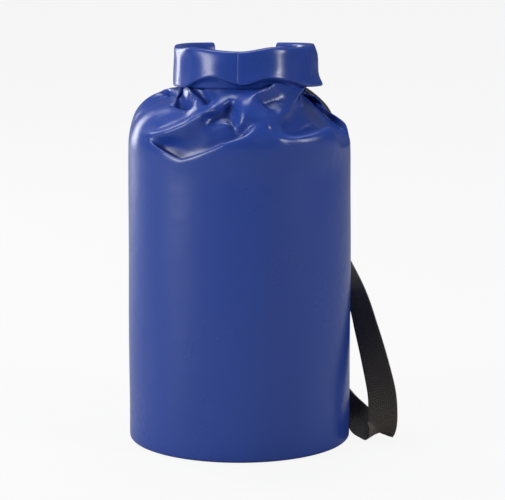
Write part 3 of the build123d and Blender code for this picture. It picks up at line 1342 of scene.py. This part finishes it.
    def hardware(self) -> None:
        """Gives the moulded and wire pieces their finishes."""
        for name, material in (
            ("buckle_socket", Finishes.moulded),
            ("buckle_plug", Finishes.moulded),
            ("strap_slider", Finishes.moulded),
            ("upper_ring", Finishes.steel),
            ("lower_ring", Finishes.steel),
        ):
            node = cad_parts[name]
            for place in node.material_slots:
                place.link = "OBJECT"
                place.material = material


# Studio --------------------------------------------------------------------------------------------


@dataclass(frozen=True)
class Lamp:
    """A soft lamp: where it hangs and its width and height in metres, and its power in watts."""

    name: str
    place: Point
    size: tuple[float, float]
    power: float


@dataclass
class Studio:
    """A pale floor, soft lights and the camera. Sizes are in metres.

    The camera sees the floor and the surroundings brighter than they light the bag.
    """

    lamps: Sequence[Lamp] = (
        Lamp("rim_left", (-1.15, 1.25, 0.60), (0.30, 1.3), 12),
        Lamp("soft_left", (-2.2, -1.1, 0.9), (0.9, 1.6), 52),
        Lamp("soft_right", (2.1, -1.3, 1.2), (0.5, 1.0), 34),
        Lamp("overhead", (-0.2, 0.5, 2.3), (1.6, 1.2), 36),
    )
    lamp_aim: Point = (0, 0, 0.22)
    floor_size: float = 12
    floor_drop: float = 0.0006
    floor_shade: float = 0.42
    floor_glow: float = 1.02
    glow_share: float = 0.88
    surroundings: float = 0.10
    backdrop: float = 1.0
    camera_place: Point = (0.0132, -4.5, 1.2)
    camera_aim: Point = (0.0132, 0, 0.194)
    lens: float = 324

    def floor(self) -> None:
        """Lays a large pale floor."""
        bm = bmesh.new()
        bmesh.ops.create_grid(bm, x_segments=1, y_segments=1, size=self.floor_size)
        floor = to_object("floor", bm)
        floor.location.z = -self.floor_drop
        material = bpy.data.materials.new("floor_paper")
        material.use_nodes = True
        tree = material.node_tree
        shader = tree.nodes["Principled BSDF"]
        shader.inputs["Base Color"].default_value = (*[self.floor_shade] * 3, 1)
        shader.inputs["Roughness"].default_value = 0.9
        shader.inputs["Specular IOR Level"].default_value = 0.0
        glow = tree.nodes.new("ShaderNodeEmission")
        glow.inputs["Strength"].default_value = self.floor_glow
        path = tree.nodes.new("ShaderNodeLightPath")
        share = math_node(tree, "MULTIPLY", path.outputs["Is Camera Ray"], self.glow_share)
        mix = tree.nodes.new("ShaderNodeMixShader")
        tree.links.new(share, mix.inputs[0])
        tree.links.new(shader.outputs[0], mix.inputs[1])
        tree.links.new(glow.outputs[0], mix.inputs[2])
        tree.links.new(mix.outputs[0], tree.nodes["Material Output"].inputs[0])
        floor.data.materials.append(material)

    def aim(self, thing: bpy.types.Object, place: Point, at: Point) -> None:
        """Puts a lamp or a camera in its place and turns it.

        Args:
            thing: the lamp or the camera.
            place: where it goes.
            at: what it faces.
        """
        thing.location = place
        thing.rotation_euler = (Vector(place) - Vector(at)).to_track_quat("Z", "Y").to_euler()
        bpy.context.scene.collection.objects.link(thing)

    def hang(self, lamp: Lamp) -> None:
        """Hangs a soft lamp that faces the bag.

        Args:
            lamp: the lamp.
        """
        data = bpy.data.lights.new(lamp.name, "AREA")
        data.shape = "RECTANGLE"
        data.size, data.size_y = lamp.size
        data.energy = lamp.power
        self.aim(bpy.data.objects.new(lamp.name, data), lamp.place, self.lamp_aim)

    def surround(self) -> None:
        """Sets the white surroundings."""
        world = bpy.data.worlds.new("surroundings")
        bpy.context.scene.world = world
        world.use_nodes = True
        tree = world.node_tree
        plain = tree.nodes["Background"]
        seen = tree.nodes.new("ShaderNodeBackground")
        for background, strength in ((plain, self.surroundings), (seen, self.backdrop)):
            background.inputs["Color"].default_value = (1, 1, 1, 1)
            background.inputs["Strength"].default_value = strength
        path = tree.nodes.new("ShaderNodeLightPath")
        mix = tree.nodes.new("ShaderNodeMixShader")
        tree.links.new(path.outputs["Is Camera Ray"], mix.inputs[0])
        tree.links.new(plain.outputs[0], mix.inputs[1])
        tree.links.new(seen.outputs[0], mix.inputs[2])
        tree.links.new(mix.outputs[0], tree.nodes["World Output"].inputs[0])

    def build(self) -> None:
        """Sets the floor, the lamps, the surroundings and the camera."""
        self.floor()
        for lamp in self.lamps:
            self.hang(lamp)
        bpy.context.scene.view_settings.view_transform = "Standard"
        self.surround()
        data = bpy.data.cameras.new("camera")
        data.lens = self.lens
        data.sensor_width = 36
        data.clip_end = 60
        camera = bpy.data.objects.new("camera", data)
        self.aim(camera, self.camera_place, self.camera_aim)
        bpy.context.scene.camera = camera


def main() -> None:
    """Builds everything in order, and reports each piece."""
    wall = BagWall()
    seam = BackSeam(wall)
    mouth = RolledMouth()
    harness = Harness()
    made = [wall.build(), Foot().build(), seam.strip(), seam.patch(), *mouth.build(), *mouth.stiffener()]
    made += [
        harness.end_tab("left_tab_loop", -1, "left_end", "left_tab"),
        harness.end_tab("right_tab_loop", 1, "right_end", "right_tab"),
        harness.upper_tab(),
        harness.lower_tab(),
        harness.strap(),
        harness.strap_end(),
    ]
    harness.hardware()
    for piece in made:
        log.info("%s: %d faces", piece.name, len(piece.data.polygons))
    Studio().build()


if __name__ == "__main__":
    main()
